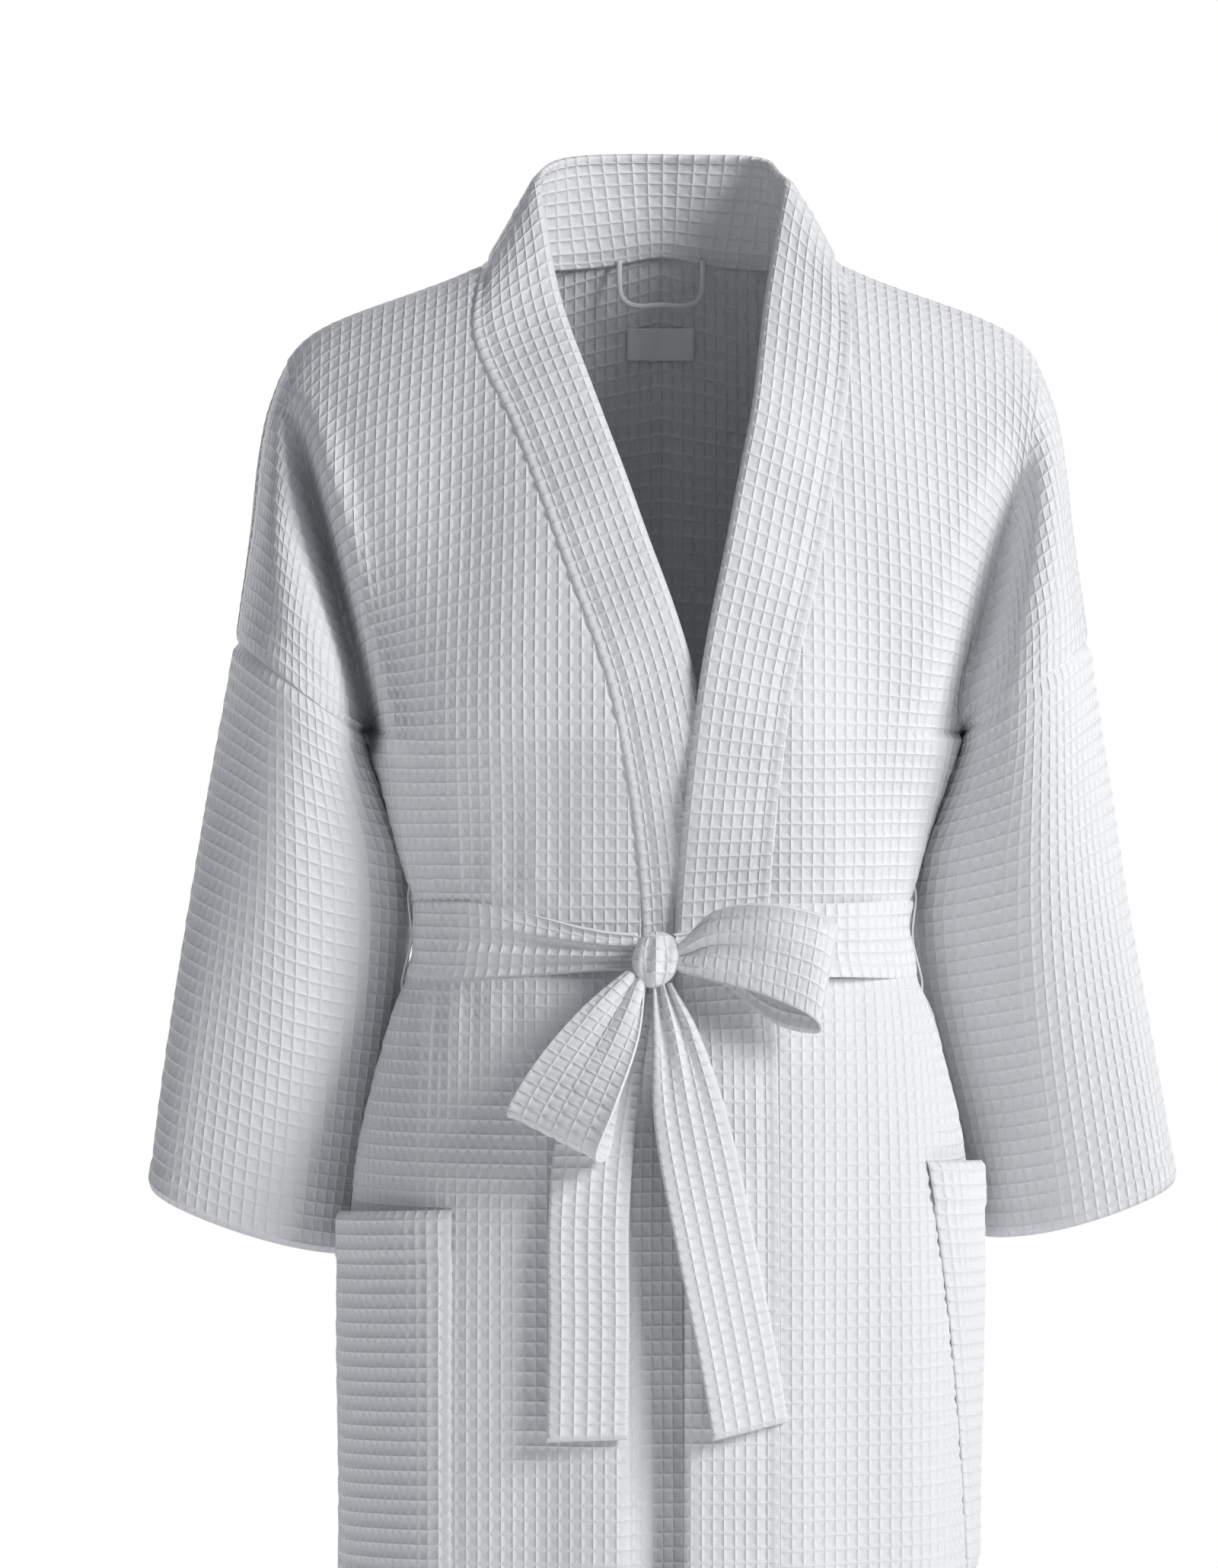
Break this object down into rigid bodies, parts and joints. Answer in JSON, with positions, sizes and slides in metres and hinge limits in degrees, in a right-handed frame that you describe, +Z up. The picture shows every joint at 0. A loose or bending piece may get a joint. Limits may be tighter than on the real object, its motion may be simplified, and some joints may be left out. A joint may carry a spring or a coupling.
{
  "type": "bathrobe",
  "caption": "White waffle-cloth wrap bathrobe with shawl-band front, wide sleeves, patch pockets and a sash tied in a bow at the waist.",
  "frame": {"origin": "between the shoulders, on the line where the wearer's shoulders carry the robe", "axes": "+X to the wearer's left, +Y to the back, +Z up along the body"},
  "size_m": [0.6805, 0.2935, 1.2207],
  "materials": {
    "waffle": "matt woven waffle cotton",
    "waffle_band": "matt woven waffle cotton, doubled",
    "belt_waffle": "matt woven waffle cotton strip",
    "tape": "plain woven cotton tape",
    "label": "smooth woven satin"
  },
  "bodies": {
    "robe": {"back_panel": "waffle", "left_front_panel": "waffle", "right_front_panel": "waffle", "left_front_band": "waffle_band", "right_front_band": "waffle_band", "back_neck_band": "waffle_band", "left_pocket": "waffle", "right_pocket": "waffle", "left_belt_carrier": "belt_waffle", "right_belt_carrier": "belt_waffle", "belt_wrap": "belt_waffle", "belt_knot": "belt_waffle", "neck_label": "label"},
    "left_sleeve": {"left_sleeve": "waffle"},
    "right_sleeve": {"right_sleeve": "waffle"},
    "left_belt_tail": {"left_belt_tail": "belt_waffle"},
    "right_belt_tail": {"right_belt_tail": "belt_waffle"},
    "left_bow_loop": {"left_bow_loop": "belt_waffle"},
    "right_bow_loop": {"right_bow_loop": "belt_waffle"},
    "hang_loop": {"hang_loop": "tape"}
  },
  "joints": [
    {"name": "left_sleeve_lift", "type": "hinge", "parent": "robe", "child": "left_sleeve", "pos_m": [0.252, 0, -0.19], "axis": [0, -1, 0], "range_deg": [0, 50]},
    {"name": "right_sleeve_lift", "type": "hinge", "parent": "robe", "child": "right_sleeve", "pos_m": [-0.252, 0, -0.19], "axis": [0, 1, 0], "range_deg": [0, 50]},
    {"name": "left_tail_swing", "type": "hinge", "parent": "robe", "child": "left_belt_tail", "pos_m": [-0.005, -0.1208, -0.428], "axis": [-1, 0, 0], "range_deg": [0, 60]},
    {"name": "right_tail_swing", "type": "hinge", "parent": "robe", "child": "right_belt_tail", "pos_m": [-0.005, -0.1208, -0.428], "axis": [-1, 0, 0], "range_deg": [0, 60]},
    {"name": "right_loop_swing", "type": "hinge", "parent": "robe", "child": "right_bow_loop", "pos_m": [-0.005, -0.1208, -0.428], "axis": [-1, 0, 0], "range_deg": [0, 60]},
    {"name": "left_loop_lift", "type": "hinge", "parent": "robe", "child": "left_bow_loop", "pos_m": [-0.005, -0.1208, -0.428], "axis": [0, -1, 0], "range_deg": [0, 40]},
    {"name": "hang_loop_flip", "type": "hinge", "parent": "robe", "child": "hang_loop", "pos_m": [0, 0.0675, 0.0367], "axis": [-1, 0, 0], "range_deg": [0, 140]}
  ],
  "couplings": [
    {"joint": "right_loop_swing", "follows": "right_tail_swing", "ratio": 1}
  ]
}
